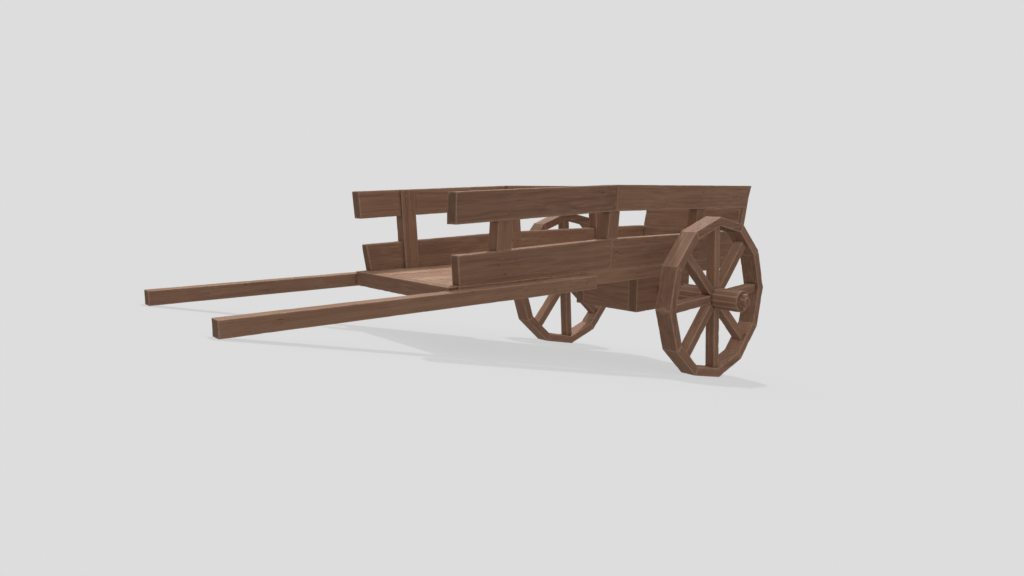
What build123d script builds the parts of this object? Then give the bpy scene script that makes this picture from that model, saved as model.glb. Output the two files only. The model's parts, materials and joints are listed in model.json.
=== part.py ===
from build123d import *
import math
import os

# Two-wheeled wooden cart with a pair of shafts, all of timber. Sizes are in millimetres.
# It is drawn level about its axle, X forward along the shafts, Y to its left and Z up.
# It is then tipped nose down onto its shaft tips, as it stands parked, and moved so that
# the origin is under the middle of its box, on the ground.

# Wheels: a twelve-sided rim of felloes, straight spokes and a long twelve-sided nave
WHEEL_RADIUS = 560          # from the axle to a corner of the rim
RIM_CORNERS = 12
SPOKE_COUNT = 8
TRACK = 1440                # between the middles of the two rims
RIM_WIDTH = 118
RIM_DEPTH = 62              # from an outer corner to the inner corner behind it
SPOKE_FACE = 58             # across the spoke, seen from the wheel's side
SPOKE_THICKNESS = 70        # along the axle
FELLOE_TENON = 28           # side of the square tenon through the felloe
TENON_SETBACK = 1.5         # the tenon's end below the tread
NAVE_LENGTH = 460
NAVE_RADIUS = 76            # to a corner of its sides, which are in line with the rim's
NAVE_TENON_FACE = 28
NAVE_TENON_THICKNESS = 36
NAVE_TENON_DEPTH = 34

# Axle: a square beam with round arms, held in a block of cheeks and end boards
ARM_RADIUS = 31
ARM_PLAY = 1.0              # running clearance of the arm in the nave, on the radius
SHOULDER_GAP = 6            # between the axle's shoulder and the nave
LINCHPIN_GAP = 5            # between the nave and the linchpin
ARM_END = 16                # arm left outside the linchpin
AXLE_SIDE = 112
PIN_THICKNESS = 12
PIN_WIDTH = 24
PIN_REACH = 20              # the pin's foot below the arm
PIN_HEAD_HEIGHT = 20
PIN_HEAD_WIDTH = 40
PIN_HEAD_THICKNESS = 20
BLOCK_FRONT = 297
BLOCK_REAR = 325
BLOCK_HALF_WIDTH = 296
BLOCK_DROP = 127            # the block's underside below the axle's centre
CHEEK_THICKNESS = 72
END_BOARD_THICKNESS = 50

# Bed: two sills, crossbeams between them and planks along it
BED_UNDERSIDE = 151         # above the axle's centre
BED_TOP = 235
SILL_OUTER = 499            # outer face of the sill from the cart's middle
SILL_WIDTH = 65
BED_FRONT = 2074
FRONT_BEAM_THICKNESS = 62
FRONT_BEAM_DROP = 5            # the front beam's underside below the sills'
FRONT_BEAM_SETBACK = 7      # the front beam's end inside the sill's outer face
PLANK_THICKNESS = 28
PLANK_COUNT = 7
PLANK_GAP = 3
CROSSBEAM_WIDTH = 70
CROSSBEAM_PLACES = (-500, -262, 262, 760, 1230, 1700)

# Shafts
SHAFT_WIDTH = 79
SHAFT_HEIGHT = 79
SHAFT_TOP = 220
SHAFT_REAR = 1026
SHAFT_TIP = 3263

# Side walls: boards and rails that lean out, each bent at the main post
WALL_SETBACK = 3            # the wall's outer face inside the sill's, at the bed's top
WALL_FLARE = 4.9            # degrees
BOARD_THICKNESS = 64
BOARD_TOP = 433
BOARD_TOP_FRONT = 399
BOARD_FRONT_LOW = 2003
BOARD_FRONT_HIGH = 2023
RAIL_THICKNESS = 81
RAIL_PROUD = 12             # the rail's face outside the board's face
RAIL_BOTTOM = 606
RAIL_TOP = 770
RAIL_BOTTOM_FRONT = 561
RAIL_TOP_FRONT = 729
RAIL_FRONT_LOW = 2051
RAIL_FRONT_HIGH = 2057

# Uprights of a wall: each is cut back behind the boards, which are housed over it
HOUSING = 40                # wood left in a board outside an upright
STAKE_DEPTH = 80
STAKE_PLACES = ((1654, 1757), (-153, -67))
MAIN_POST_DEPTH = 100
MAIN_POST_REAR = 770
MAIN_POST_FRONT = 865

# Tail: a leaning panel of lapped boards, with posts and battens behind them
TAIL_TOP_X = -780           # front face of the boards, level with the rails' top
TAIL_LEAN = 13.4            # degrees
TAIL_BOARD_INSET = 44       # the boards' ends inside the sill's outer face
TAIL_BOARD_THICKNESS = 42
TAIL_BOARD_HEIGHTS = (151, 290, 428, 596, 758)
TAIL_BOARD_GAP = 2
TAIL_BOARD_LAP = 14         # each board's rear half reaches up behind the next
TAIL_POST_WIDTH = 70
TAIL_POST_THICKNESS = 50
TAIL_POST_INSET = 5         # the posts' ends inside the boards' edges
BATTEN_THICKNESS = 30
BATTEN_WIDTH = 70
BATTEN_PLACE = 140
BATTEN_INSET = 12
RAIL_BEVEL = 62             # the rail's outer corner stops this far ahead of the tail boards

# Values worked out from the sizes above
REACH = 5000                # longer than any piece, for cutting tools
RIM_STEP = 360 / RIM_CORNERS
RIM_INNER = WHEEL_RADIUS - RIM_DEPTH
FLAT = math.cos(math.radians(RIM_STEP / 2))
NAVE_INNER_Y = (TRACK - NAVE_LENGTH) / 2
NAVE_OUTER_Y = (TRACK + NAVE_LENGTH) / 2
PIN_Y = NAVE_OUTER_Y + LINCHPIN_GAP + PIN_HEAD_THICKNESS / 2
ARM_TIP_Y = PIN_Y + PIN_THICKNESS / 2 + ARM_END
SILL_INNER = SILL_OUTER - SILL_WIDTH
TAIL_BOARD_END = SILL_OUTER - TAIL_BOARD_INSET
WALL_FOOT = SILL_OUTER - WALL_SETBACK
JOINT_X = (MAIN_POST_REAR + MAIN_POST_FRONT) / 2
FLARE_SLOPE = math.tan(math.radians(WALL_FLARE))
LEAN_SLOPE = math.tan(math.radians(TAIL_LEAN))
LEAN_STRETCH = 1 / math.cos(math.radians(TAIL_LEAN))
SHAFT_BOTTOM = SHAFT_TOP - SHAFT_HEIGHT
PARK_PITCH = math.degrees(
    math.asin(WHEEL_RADIUS * FLAT / math.hypot(SHAFT_TIP, SHAFT_BOTTOM))
    + math.atan2(SHAFT_BOTTOM, SHAFT_TIP)
)


def block(x0, x1, y0, y1, z0, z1):
    """A box between two corners."""
    return Pos((x0 + x1) / 2, (y0 + y1) / 2, (z0 + z1) / 2) * Box(x1 - x0, y1 - y0, z1 - z0)


def side_prism(outline, y0, y1):
    """An outline of (x, z) points carried from y0 to y1."""
    face = make_face(Polyline(*[(x, y0, z) for x, z in outline], close=True))
    return extrude(face, amount=y1 - y0, dir=(0, 1, 0))


def line_z(x, x0, z0, x1, z1):
    """Height at x of the straight line through two points."""
    return z0 + (x - x0) * (z1 - z0) / (x1 - x0)


def board_top(x):
    """Top edge of the lower board, bent at the main post."""
    if x <= JOINT_X:
        return BOARD_TOP
    return line_z(x, JOINT_X, BOARD_TOP, BOARD_FRONT_HIGH, BOARD_TOP_FRONT)


def rail_bottom(x):
    """Bottom edge of the upper rail."""
    if x <= JOINT_X:
        return RAIL_BOTTOM
    return line_z(x, JOINT_X, RAIL_BOTTOM, RAIL_FRONT_LOW, RAIL_BOTTOM_FRONT)


def rail_top(x):
    """Top edge of the upper rail."""
    if x <= JOINT_X:
        return RAIL_TOP
    return line_z(x, JOINT_X, RAIL_TOP, RAIL_FRONT_HIGH, RAIL_TOP_FRONT)


def tail_x(z):
    """Where the leaning front face of the tail boards is at a height."""
    return TAIL_TOP_X + (RAIL_TOP - z) * LEAN_SLOPE


def wall_slab(outer, inner):
    """The leaning layer of the left wall between two depths from its outer face."""
    low = BED_TOP
    high = RAIL_TOP + BED_TOP
    shift = (high - low) * FLARE_SLOPE
    corners = [
        (-REACH, WALL_FOOT - inner, low),
        (-REACH, WALL_FOOT - outer, low),
        (-REACH, WALL_FOOT - outer + shift, high),
        (-REACH, WALL_FOOT - inner + shift, high),
    ]
    return extrude(make_face(Polyline(*corners, close=True)), amount=2 * REACH, dir=(1, 0, 0))


def wall_piece(outline, outer, inner):
    """Part of the left wall with a side outline, between two depths."""
    return wall_slab(outer, inner) & side_prism(outline, 0, REACH)


def upright(back_outline, gap_outline, depth):
    """An upright of full depth in the gap, cut back by the housing behind the boards."""
    return wall_piece(back_outline, HOUSING, depth) + wall_piece(gap_outline, 0, HOUSING)


def plain_upright(rear, front, depth):
    """An upright with plumb sides."""
    back = [(rear, BED_TOP), (front, BED_TOP), (front, rail_top(front)), (rear, rail_top(rear))]
    gap = [
        (rear, board_top(rear)),
        (front, board_top(front)),
        (front, rail_bottom(front)),
        (rear, rail_bottom(rear)),
    ]
    if rear < JOINT_X < front:
        back.insert(3, (JOINT_X, RAIL_TOP))
        gap.insert(1, (JOINT_X, BOARD_TOP))
        gap.insert(4, (JOINT_X, RAIL_BOTTOM))
    return upright(back, gap, depth)


def rail_bevel():
    """What is cut from the outer corner of the left rail's rear end."""
    rear = tail_x(BED_TOP)
    face = WALL_FOOT + RAIL_PROUD
    inner = WALL_FOOT + RAIL_PROUD - RAIL_THICKNESS
    plan = [
        (rear + RAIL_BEVEL, face, BED_TOP),
        (rear - TAIL_BOARD_THICKNESS * LEAN_STRETCH, inner, BED_TOP),
        (rear - REACH, inner, BED_TOP),
        (rear - REACH, REACH, BED_TOP),
        (rear + RAIL_BEVEL, REACH, BED_TOP),
    ]
    wedge = make_face(Polyline(*plan, close=True))
    return extrude(wedge, amount=RAIL_TOP, dir=(-LEAN_SLOPE, FLARE_SLOPE, 1))


def left_wall():
    """Every piece of the left wall by name, the boards housed over the uprights."""
    stakes = [plain_upright(rear, front, STAKE_DEPTH) for rear, front in STAKE_PLACES]
    main_post = plain_upright(MAIN_POST_REAR, MAIN_POST_FRONT, MAIN_POST_DEPTH)
    rail_rear = TAIL_BOARD_THICKNESS * LEAN_STRETCH
    boards = {
        "lower_board_front": (
            0,
            BOARD_THICKNESS,
            [
                (JOINT_X, BED_TOP),
                (BOARD_FRONT_LOW, BED_TOP),
                (BOARD_FRONT_HIGH, BOARD_TOP_FRONT),
                (JOINT_X, BOARD_TOP),
            ],
        ),
        "lower_board_rear": (
            0,
            BOARD_THICKNESS,
            [
                (tail_x(BED_TOP), BED_TOP),
                (JOINT_X, BED_TOP),
                (JOINT_X, BOARD_TOP),
                (tail_x(BOARD_TOP), BOARD_TOP),
            ],
        ),
        "upper_rail_front": (
            -RAIL_PROUD,
            RAIL_THICKNESS - RAIL_PROUD,
            [
                (JOINT_X, RAIL_BOTTOM),
                (RAIL_FRONT_LOW, RAIL_BOTTOM_FRONT),
                (RAIL_FRONT_HIGH, RAIL_TOP_FRONT),
                (JOINT_X, RAIL_TOP),
            ],
        ),
        "upper_rail_rear": (
            -RAIL_PROUD,
            RAIL_THICKNESS - RAIL_PROUD,
            [
                (tail_x(RAIL_BOTTOM) - rail_rear, RAIL_BOTTOM),
                (JOINT_X, RAIL_BOTTOM),
                (JOINT_X, RAIL_TOP),
                (tail_x(RAIL_TOP) - rail_rear, RAIL_TOP),
            ],
        ),
    }
    pieces = {"stakes": stakes, "main_post": [main_post]}
    for name, (outer, inner, outline) in boards.items():
        board = wall_piece(outline, outer, inner)
        for post in [*stakes, main_post]:
            board -= post
        pieces[name] = [board]
    pieces["upper_rail_rear"] = [pieces["upper_rail_rear"][0] - rail_bevel()]
    return pieces


def tail_layer(front, rear, low, high, y0, y1):
    """A leaning layer of the tail, between two depths behind the boards' front face."""
    near = front * LEAN_STRETCH
    far = rear * LEAN_STRETCH
    outline = [
        (tail_x(low) - near, low),
        (tail_x(high) - near, high),
        (tail_x(high) - far, high),
        (tail_x(low) - far, low),
    ]
    return side_prism(outline, y0, y1)


def tail_board(low, high):
    """One board across the tail, its rear half raised to lap behind the next board."""
    middle = TAIL_BOARD_THICKNESS / 2
    lowest = low == TAIL_BOARD_HEIGHTS[0]
    highest = high == TAIL_BOARD_HEIGHTS[-1]
    foot = low + TAIL_BOARD_GAP / 2
    head = high - TAIL_BOARD_GAP / 2
    rear_foot = foot if lowest else foot + TAIL_BOARD_LAP
    rear_head = head if highest else head + TAIL_BOARD_LAP
    end = SILL_OUTER if highest else TAIL_BOARD_END
    board = tail_layer(0, middle, foot, head, -end, end)
    board += tail_layer(middle, TAIL_BOARD_THICKNESS, rear_foot, rear_head, -end, end)
    if highest:
        rail_side = wall_slab(-REACH, RAIL_THICKNESS - RAIL_PROUD)
        board = board - rail_side - mirror(rail_side, Plane.XZ)
    return board


def tail_upright(thickness, inset, y0, y1):
    """A post or batten up the back of the tail boards."""
    rear = TAIL_BOARD_THICKNESS + thickness
    low = TAIL_BOARD_HEIGHTS[0] + inset
    high = TAIL_BOARD_HEIGHTS[-1] - inset
    return tail_layer(TAIL_BOARD_THICKNESS, rear, low, high, y0, y1)


def tail():
    """Boards across the tail, the posts at their ends and the battens between."""
    boards = [tail_board(low, high) for low, high in zip(TAIL_BOARD_HEIGHTS[:-1], TAIL_BOARD_HEIGHTS[1:])]
    post_inner = TAIL_BOARD_END - TAIL_POST_WIDTH
    post = tail_upright(TAIL_POST_THICKNESS, TAIL_POST_INSET, post_inner, TAIL_BOARD_END)
    battens = [
        tail_upright(BATTEN_THICKNESS, BATTEN_INSET, place - BATTEN_WIDTH / 2, place + BATTEN_WIDTH / 2)
        for place in (-BATTEN_PLACE, BATTEN_PLACE)
    ]
    return {
        "tail_boards": boards,
        "left_tail_post": [post],
        "right_tail_post": [mirror(post, Plane.XZ)],
        "tail_battens": battens,
    }


def bed():
    """Sills, crossbeams and planks."""
    sill_front = BED_FRONT - FRONT_BEAM_THICKNESS
    plank_underside = BED_TOP - PLANK_THICKNESS
    sill_outline = [
        (tail_x(BED_UNDERSIDE), BED_UNDERSIDE),
        (sill_front, BED_UNDERSIDE),
        (sill_front, BED_TOP),
        (tail_x(BED_TOP), BED_TOP),
    ]
    sills = [
        side_prism(sill_outline, SILL_INNER, SILL_OUTER),
        side_prism(sill_outline, -SILL_OUTER, -SILL_INNER),
    ]
    beam_end = SILL_OUTER - FRONT_BEAM_SETBACK
    beam_underside = BED_UNDERSIDE - FRONT_BEAM_DROP
    front_beam = block(sill_front, BED_FRONT, -beam_end, beam_end, beam_underside, BED_TOP)
    crossbeams = [
        block(
            place - CROSSBEAM_WIDTH / 2,
            place + CROSSBEAM_WIDTH / 2,
            -SILL_INNER,
            SILL_INNER,
            BED_UNDERSIDE,
            plank_underside,
        )
        for place in CROSSBEAM_PLACES
    ]
    plank_outline = [
        (tail_x(plank_underside), plank_underside),
        (sill_front, plank_underside),
        (sill_front, BED_TOP),
        (tail_x(BED_TOP), BED_TOP),
    ]
    pitch = 2 * SILL_INNER / PLANK_COUNT
    planks = [
        side_prism(
            plank_outline,
            -SILL_INNER + index * pitch + PLANK_GAP / 2,
            -SILL_INNER + (index + 1) * pitch - PLANK_GAP / 2,
        )
        for index in range(PLANK_COUNT)
    ]
    return {
        "bed_sills": sills,
        "front_crossbeam": [front_beam],
        "bed_crossbeams": crossbeams,
        "bed_planks": planks,
    }


def shafts():
    """The two shafts, fastened along the outer faces of the sills."""
    left = block(SHAFT_REAR, SHAFT_TIP, SILL_OUTER, SILL_OUTER + SHAFT_WIDTH, SHAFT_BOTTOM, SHAFT_TOP)
    return {"left_shaft": [left], "right_shaft": [mirror(left, Plane.XZ)]}


def across(radius, y0, y1):
    """A cylinder along the axle."""
    return extrude(Plane((0, y0, 0), x_dir=(1, 0, 0), z_dir=(0, 1, 0)) * Circle(radius), amount=y1 - y0)


def linchpin():
    """Flat wooden pin through the left arm, hanging by its head."""
    stem = block(
        -PIN_WIDTH / 2,
        PIN_WIDTH / 2,
        PIN_Y - PIN_THICKNESS / 2,
        PIN_Y + PIN_THICKNESS / 2,
        -ARM_RADIUS - PIN_REACH,
        ARM_RADIUS,
    )
    head = block(
        -PIN_HEAD_WIDTH / 2,
        PIN_HEAD_WIDTH / 2,
        PIN_Y - PIN_HEAD_THICKNESS / 2,
        PIN_Y + PIN_HEAD_THICKNESS / 2,
        ARM_RADIUS,
        ARM_RADIUS + PIN_HEAD_HEIGHT,
    )
    return stem + head


def axle():
    """Axle beam with its arms and linchpins, and the block that carries the bed on it."""
    half = AXLE_SIDE / 2
    shoulder = NAVE_INNER_Y - SHOULDER_GAP
    beam = block(-half, half, -shoulder, shoulder, -half, half)
    pin = linchpin()
    pins = [pin, mirror(pin, Plane.XZ)]
    bare_axle = beam + across(ARM_RADIUS, -ARM_TIP_Y, ARM_TIP_Y)
    for each in pins:
        bare_axle -= each
    cheek_inner = BLOCK_HALF_WIDTH - CHEEK_THICKNESS
    cheek = block(-BLOCK_REAR, BLOCK_FRONT, cheek_inner, BLOCK_HALF_WIDTH, -BLOCK_DROP, BED_UNDERSIDE)
    cheek -= beam
    end_boards = [
        block(BLOCK_FRONT - END_BOARD_THICKNESS, BLOCK_FRONT, -cheek_inner, cheek_inner,
              -BLOCK_DROP, BED_UNDERSIDE),
        block(-BLOCK_REAR, -BLOCK_REAR + END_BOARD_THICKNESS, -cheek_inner, cheek_inner,
              -BLOCK_DROP, BED_UNDERSIDE),
    ]
    return {
        "axle_beam": [bare_axle],
        "linchpins": pins,
        "axle_cheeks": [cheek, mirror(cheek, Plane.XZ)],
        "axle_end_boards": end_boards,
    }


def rim_point(radius, degrees):
    """A point (x, z) of the rim at an angle from straight up."""
    angle = math.radians(degrees)
    return (radius * math.sin(angle), radius * math.cos(angle))


def felloe(corners):
    """A piece of the rim that runs through the given corner angles, without its mortise."""
    outline = [rim_point(WHEEL_RADIUS, a) for a in corners]
    outline += [rim_point(RIM_INNER, a) for a in reversed(corners)]
    return side_prism(outline, -RIM_WIDTH / 2, RIM_WIDTH / 2)


def nave_prism():
    """The nave's outer form, sided as the rim is."""
    outline = [rim_point(NAVE_RADIUS, index * RIM_STEP) for index in range(RIM_CORNERS)]
    return side_prism(outline, -NAVE_LENGTH / 2, NAVE_LENGTH / 2)


def foot_tenon():
    """The tenon that a spoke has in the nave, for a spoke that stands straight up."""
    return block(
        -NAVE_TENON_FACE / 2,
        NAVE_TENON_FACE / 2,
        -NAVE_TENON_THICKNESS / 2,
        NAVE_TENON_THICKNESS / 2,
        NAVE_RADIUS - NAVE_TENON_DEPTH,
        NAVE_RADIUS + SPOKE_FACE,
    )


def spoke(degrees):
    """A spoke with a tenon at each end, long enough for the rim's corner or flat."""
    in_corner = round(degrees / RIM_STEP, 6) % 1 == 0
    reach = 1 if in_corner else FLAT
    shoulder = RIM_INNER * reach
    body = block(-SPOKE_FACE / 2, SPOKE_FACE / 2, -SPOKE_THICKNESS / 2, SPOKE_THICKNESS / 2, 0, shoulder)
    if in_corner:
        hollow = side_prism(
            [
                (0, RIM_INNER),
                rim_point(RIM_INNER, RIM_STEP),
                (RIM_INNER, REACH),
                (-RIM_INNER, REACH),
                rim_point(RIM_INNER, -RIM_STEP),
            ],
            -REACH,
            REACH,
        )
        body -= hollow
    outer_tenon = block(
        -FELLOE_TENON / 2,
        FELLOE_TENON / 2,
        -FELLOE_TENON / 2,
        FELLOE_TENON / 2,
        RIM_INNER * FLAT / 2,
        WHEEL_RADIUS * reach - TENON_SETBACK,
    )
    if in_corner:
        outer_tenon &= felloe((-RIM_STEP, 0, RIM_STEP)) + block(
            -SPOKE_FACE, SPOKE_FACE, -SPOKE_THICKNESS, SPOKE_THICKNESS, 0, RIM_INNER
        )
    body -= Rotation(0, -degrees, 0) * nave_prism()
    return Rotation(0, degrees, 0) * (body + outer_tenon + foot_tenon())


def nave():
    """The nave with its bore, its mortises not yet cut."""
    return nave_prism() - across(ARM_RADIUS + ARM_PLAY, -NAVE_LENGTH, NAVE_LENGTH)


def wheel():
    """One wheel about its own middle: nave, spokes and the two kinds of felloe."""
    turns = [index * 360 / SPOKE_COUNT for index in range(SPOKE_COUNT)]
    spokes = [spoke(turn) for turn in turns]
    hub = nave()
    for turn in turns:
        hub -= Rotation(0, turn, 0) * foot_tenon()
    quarter = RIM_CORNERS // 4
    elbows = []
    straights = []
    for turn in range(4):
        start = turn * quarter * RIM_STEP
        elbow = felloe((start - RIM_STEP, start, start + RIM_STEP))
        straight = felloe((start + RIM_STEP, start + 2 * RIM_STEP))
        for each in spokes:
            elbow -= each
            straight -= each
        elbows.append(elbow)
        straights.append(straight)
    return {
        "nave": [hub],
        "spokes": spokes,
        "elbow_felloes": elbows,
        "straight_felloes": straights,
    }


def parked():
    """Every node's solids, with the cart standing on its wheels and shaft tips."""
    level = {**shafts(), **bed(), **axle(), **tail()}
    for name, solids in left_wall().items():
        level[f"left_{name}"] = solids
        level[f"right_{name}"] = [mirror(each, Plane.XZ) for each in solids]
    tip = Rotation(0, PARK_PITCH, 0)
    nodes = {name: [tip * each for each in solids] for name, solids in level.items()}
    flat_down = Rotation(0, RIM_STEP / 2, 0)
    for side, y in (("left", TRACK / 2), ("right", -TRACK / 2)):
        for name, solids in wheel().items():
            nodes[f"{side}_wheel_{name}"] = [Pos(0, y, 0) * flat_down * each for each in solids]
    return nodes


def main():
    """Stand the cart over the origin and write one STEP file for each node."""
    os.makedirs("parts", exist_ok=True)
    nodes = {name: [s for each in shapes for s in each.solids()] for name, shapes in parked().items()}
    box = Compound([solid for solids in nodes.values() for solid in solids]).bounding_box()
    stand = Pos(-(box.min.X + box.max.X) / 2, 0, WHEEL_RADIUS * FLAT)
    for name, solids in nodes.items():
        placed = [stand * each for each in solids]
        shape = placed[0] if len(placed) == 1 else Compound(placed)
        export_step(shape, f"parts/{name}.step")


main()
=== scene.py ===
import json
import math
import random

import bmesh
import bpy
import numpy as np
from bpy.props import FloatProperty, FloatVectorProperty, IntProperty, PointerProperty
from mathutils import Matrix, Vector, noise
from mathutils.bvhtree import BVHTree

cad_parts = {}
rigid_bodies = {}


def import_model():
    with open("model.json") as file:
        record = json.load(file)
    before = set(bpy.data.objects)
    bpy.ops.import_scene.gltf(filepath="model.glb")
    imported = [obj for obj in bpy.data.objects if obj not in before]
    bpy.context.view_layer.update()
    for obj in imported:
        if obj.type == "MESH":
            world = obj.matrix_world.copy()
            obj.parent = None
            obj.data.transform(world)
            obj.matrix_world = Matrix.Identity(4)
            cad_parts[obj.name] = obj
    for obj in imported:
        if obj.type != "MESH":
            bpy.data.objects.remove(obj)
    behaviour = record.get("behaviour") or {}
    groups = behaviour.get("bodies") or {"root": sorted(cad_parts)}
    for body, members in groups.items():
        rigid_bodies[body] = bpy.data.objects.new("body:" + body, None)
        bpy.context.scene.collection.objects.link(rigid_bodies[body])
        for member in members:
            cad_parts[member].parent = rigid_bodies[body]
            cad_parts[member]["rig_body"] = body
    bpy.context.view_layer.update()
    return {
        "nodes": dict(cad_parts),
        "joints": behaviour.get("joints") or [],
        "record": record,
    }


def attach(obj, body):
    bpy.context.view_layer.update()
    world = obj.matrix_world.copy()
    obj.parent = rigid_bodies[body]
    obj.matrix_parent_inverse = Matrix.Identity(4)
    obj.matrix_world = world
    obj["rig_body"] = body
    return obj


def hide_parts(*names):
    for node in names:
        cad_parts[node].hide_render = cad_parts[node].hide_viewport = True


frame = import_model()

bl_info = {
    "name": "Timber Cart",
    "version": (1, 0, 0),
    "blender": (4, 5, 0),
    "location": "3D View > Sidebar > Cart",
    "description": "Dresses a two-wheeled timber cart with worn boards, pegs and aged wood",
    "category": "Object",
}

# The cart is described level about its axle: X ahead, Y to its left, Z up through the bed.
# It stands parked on its shaft tips, so this frame is tipped in the world.
MOUNTS = {mount["name"]: mount for mount in frame["record"]["mounts"]}
UP = Vector(MOUNTS["bed_floor"]["axis"]).normalized()
AHEAD = Vector(MOUNTS["front_beam_face"]["axis"]).normalized()
LEFT = Vector((0, 1, 0))
HUB = Vector(next(j["pos_m"] for j in frame["joints"] if j["name"] == "left_wheel_turn"))
AXLE = Vector((HUB.x, 0, HUB.z))
LEVEL = Matrix((AHEAD, LEFT, UP)).transposed().to_4x4()
LEVEL.translation = AXLE
TO_LEVEL = LEVEL.inverted()
SIDES = {"left": 1, "right": -1}

# The photograph's frame, and where its light travels in the cart's level frame
IMAGE_WIDTH = 1024
SENSOR_WIDTH = 36.0
KEY_TRAVEL = Vector((0.48, 0.38, -1.0))
OVERHEAD_TRAVEL = Vector((0.0, 0.0, -1.0))
FILL_TRAVEL = Vector((-0.62, -0.78, 0.0))
FLOOR_RADIUS = 60.0
WHITE = (1, 1, 1, 1)

# Corners nearer than the distance are one, flatter edges go, and sharper ones are worn round.
# A length under the last counts as none.
MERGE_DISTANCE = 1e-5
FLAT_ANGLE = math.radians(1.0)
SHARP_ANGLE = math.radians(25)
TINY = 1e-12

# A face that leans less along the grain than the first is one of a timber's sides, and one
# that looks down more than the second is not its outer one
SIDE_SLOPE = 0.3
DOWN_SLOPE = -0.1

# The first mesh loop's distance from an edge, in edge radii, and the shortest length that
# loops are cut in, in such distances
EDGE_SUPPORT = 3
SHORTEST_GRID = 2.5

# Waves per metre along and across the grain, of hewing and of wear
HEWING_WAVES = (5.5, 22)
RIPPLE_WAVES = (17, 45)
KNOCK_WAVES = (24, 30)
RUB_WAVES = (6, 9)

# What hewing takes off evenly, in waves and in ripples, as shares of the waviness
HEWING = (0.15, 0.75, 0.35)

# Where the noise makes a knock, and what knocks and rubbing take off, in nick depths
KNOCK_FROM = 0.26
KNOCK_SHARE = 2.0
RUB_SHARE = 0.30

# Drying cracks: their place as shares of half the width, their length as a share of the
# timber's, their waves per metre, and how squarely faces and points look out that they open
CRACK_PLACE = (0.62, 0.92)
CRACK_STEPS = (0.25, 0.6, 0.9)
CRACK_LENGTH = (0.10, 0.24)
CRACK_WAVES = 14
CRACKED_FACE = 0.55
CRACKED_POINT = 0.5

# In halves of a crack's width, how far from its middle line and lips their points lie, how far
# it sways and how far it closes; and the power by which it gets shallow
MIDDLE_BAND = 0.2
LIP_BAND = (0.8, 1.2)
CRACK_SWAY = 1.4
CRACK_CLOSING = 0.9
CRACK_TAPER = 0.6

# The tree that timbers are sawn from: its length, and how far its pith lies from their middle
GRAIN_LENGTH = 40
PITH_ASIDE = 0.02
PITH_BELOW = (0.03, 0.16)

# The span of the nodes' seeds, and the steps from timber to timber and from crack to crack
SEED_SPAN = 997
TIMBER_SEED_STEP = 1.37
CRACK_SEED_STEP = 3.7

# How far from an edge the wood is rubbed bare, and how far in knocks fade and end
RUBBED_REACH = 0.0075
KNOCK_FADE = 0.0050
KNOCK_REACH = 0.009

# Bores and arms stay true within a radius of the axle's line, and wear sets in over the fade
TRUE_RADIUS = 0.045
TRUE_FADE = 0.02

# A peg's depth in the wood and its head's rounding and narrow end, as shares of its radius,
# its crown as a share of the rounding, its uneven length, and how far off its pith lies
PEG_DEPTH = 1.2
PEG_ROUNDING = 0.18
PEG_NARROW = 0.84
PEG_CROWN = 0.6
PEG_LENGTHS = (0.6, 1.25)
PEG_PITH = 0.05

# The foot, the shoulder and the top of the rod that a peg is shaped from, and the height that
# parts its end grain from its side
ROD = (-1.5, 0.5, 1.5)
ROD_END = 1.4

# Level places clear of the cart, from where rays look for pegs
ABOVE = 1.0
BESIDE = 2.0
BEFORE = 5.0
BEHIND = -3.0

# How far off a face the rays that look for sheltering timber start, for the painted shade and
# grime, and how steeply they leave it
RAY_LIFT = 0.003
RAY_RISE = 0.4

SLOTS = {part["node"]: part["material_slot"] for part in frame["record"]["subparts"]}
BODIES = {node: obj["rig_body"] for node, obj in frame["nodes"].items()}
WALL_BOARDS = ("lower_board_front", "lower_board_rear", "upper_rail_front", "upper_rail_rear")


def in_world(direction):
    """A direction of the cart's level frame as a unit direction of the world."""
    return (LEVEL.to_3x3() @ direction).normalized()


def placed(name, data):
    """A new object in the scene."""
    made = bpy.data.objects.new(name, data)
    bpy.context.scene.collection.objects.link(made)
    return made


def srgb(red, green, blue):
    """Linear colour of a screen colour given in steps of 0 to 255."""
    def linear(step):
        share = step / 255
        return share / 12.92 if share <= 0.04045 else ((share + 0.055) / 1.055) ** 2.4

    return linear(red), linear(green), linear(blue)


# Settings


def amount(name, default, description, low=0.0, **more):
    """A number, with the least that it may be."""
    return FloatProperty(name=name, description=description, default=default, min=low, **more)


def metres(name, default, description, low=0.0):
    """A length, in metres."""
    return amount(name, default, description, low, unit="LENGTH")


def degrees(name, default, description):
    """An angle, with its default in degrees."""
    return FloatProperty(
        name=name, description=description, default=math.radians(default), unit="ROTATION"
    )


def screen_colour(name, steps, description):
    """A colour, with its default as a screen colour in steps of 0 to 255."""
    return FloatVectorProperty(
        name=name, description=description, default=srgb(*steps), size=3, subtype="COLOR",
        min=0.0, max=1.0,
    )


class CartTimberSettings(bpy.types.PropertyGroup):
    """Sizes of the worn timber."""

    edge_radius: metres("Edge radius", 0.0026, "Rounding of the timbers' worn edges")
    small_edge_radius: metres(
        "Small edge radius", 0.0018, "Rounding of the edges of spokes, naves and pins"
    )
    step_along: metres(
        "Step along the grain", 0.016, "Distance between the mesh loops along a timber", low=0.004
    )
    step_across: metres(
        "Step across the grain", 0.022, "Distance between the mesh loops across a timber", low=0.004
    )
    waviness: metres("Waviness", 0.0009, "How far a hewn face strays from flat")
    nick_depth: metres("Nick depth", 0.0034, "Depth of the knocks along the edges")
    check_width: metres("Check width", 0.0030, "Width of a drying crack at the timber's end")
    check_depth: metres("Check depth", 0.009, "Depth of a drying crack at the timber's end")


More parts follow.
